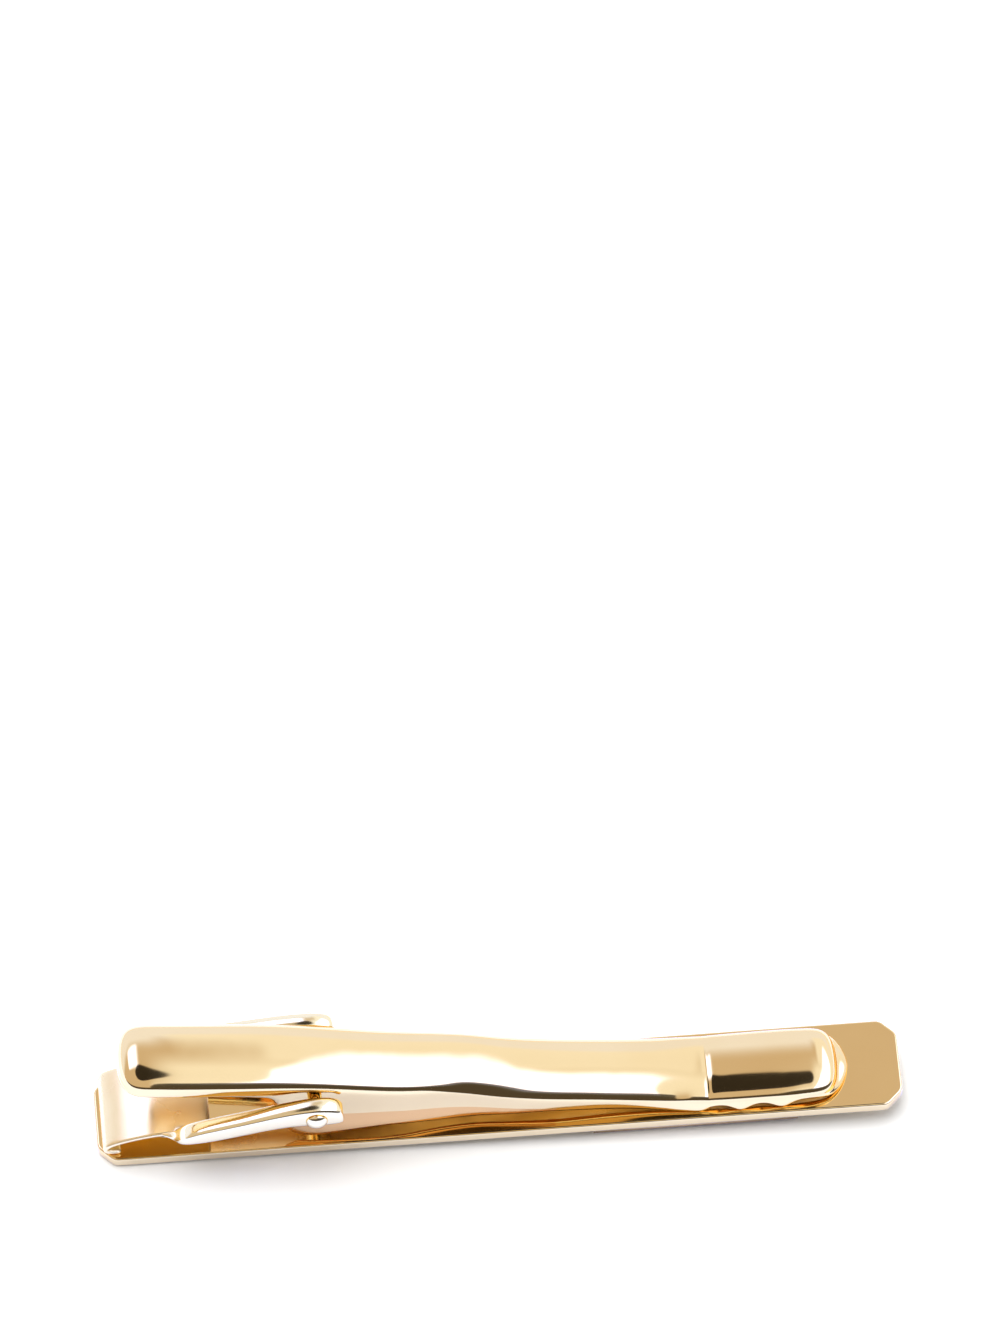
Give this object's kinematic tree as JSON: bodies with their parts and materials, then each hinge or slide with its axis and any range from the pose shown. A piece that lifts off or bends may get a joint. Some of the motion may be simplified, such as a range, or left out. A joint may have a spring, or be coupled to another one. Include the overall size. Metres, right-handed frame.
{
  "type": "tie clip",
  "caption": "Pinch-lever tie clip: a flat gilt bar with a bent spring bracket that carries a sprung, toothed jaw lever, opened by pressing its thumb pad",
  "frame": {"origin": "under the middle of the part, on the plane that its front plaque rests on", "axes": "+X from the thumb end to the jaw end along the bar, +Y across the bar, +Z from the decorated front to the lever side"},
  "size_m": [0.0576, 0.0094, 0.0102],
  "materials": {
    "gilt_polished": "gold-plated, mirror polished",
    "gilt_spring": "pale gold-plated spring sheet, polished",
    "gilt_plaque": "gold-plated, satin"
  },
  "bodies": {
    "clip_back": {"front_bar": "gilt_polished", "front_plaque": "gilt_plaque", "spring_bracket": "gilt_spring", "pivot_pin": "gilt_spring"},
    "lever": {"jaw_lever": "gilt_polished"}
  },
  "joints": [
    {"name": "lever_pivot", "type": "hinge", "parent": "clip_back", "child": "lever", "pos_m": [-0.0132, 0, 0.0063], "axis": [0, -1, 0], "range_deg": [0, 18], "stiffness_Nm_per_rad": 0.02, "springref_deg": -20.05}
  ]
}
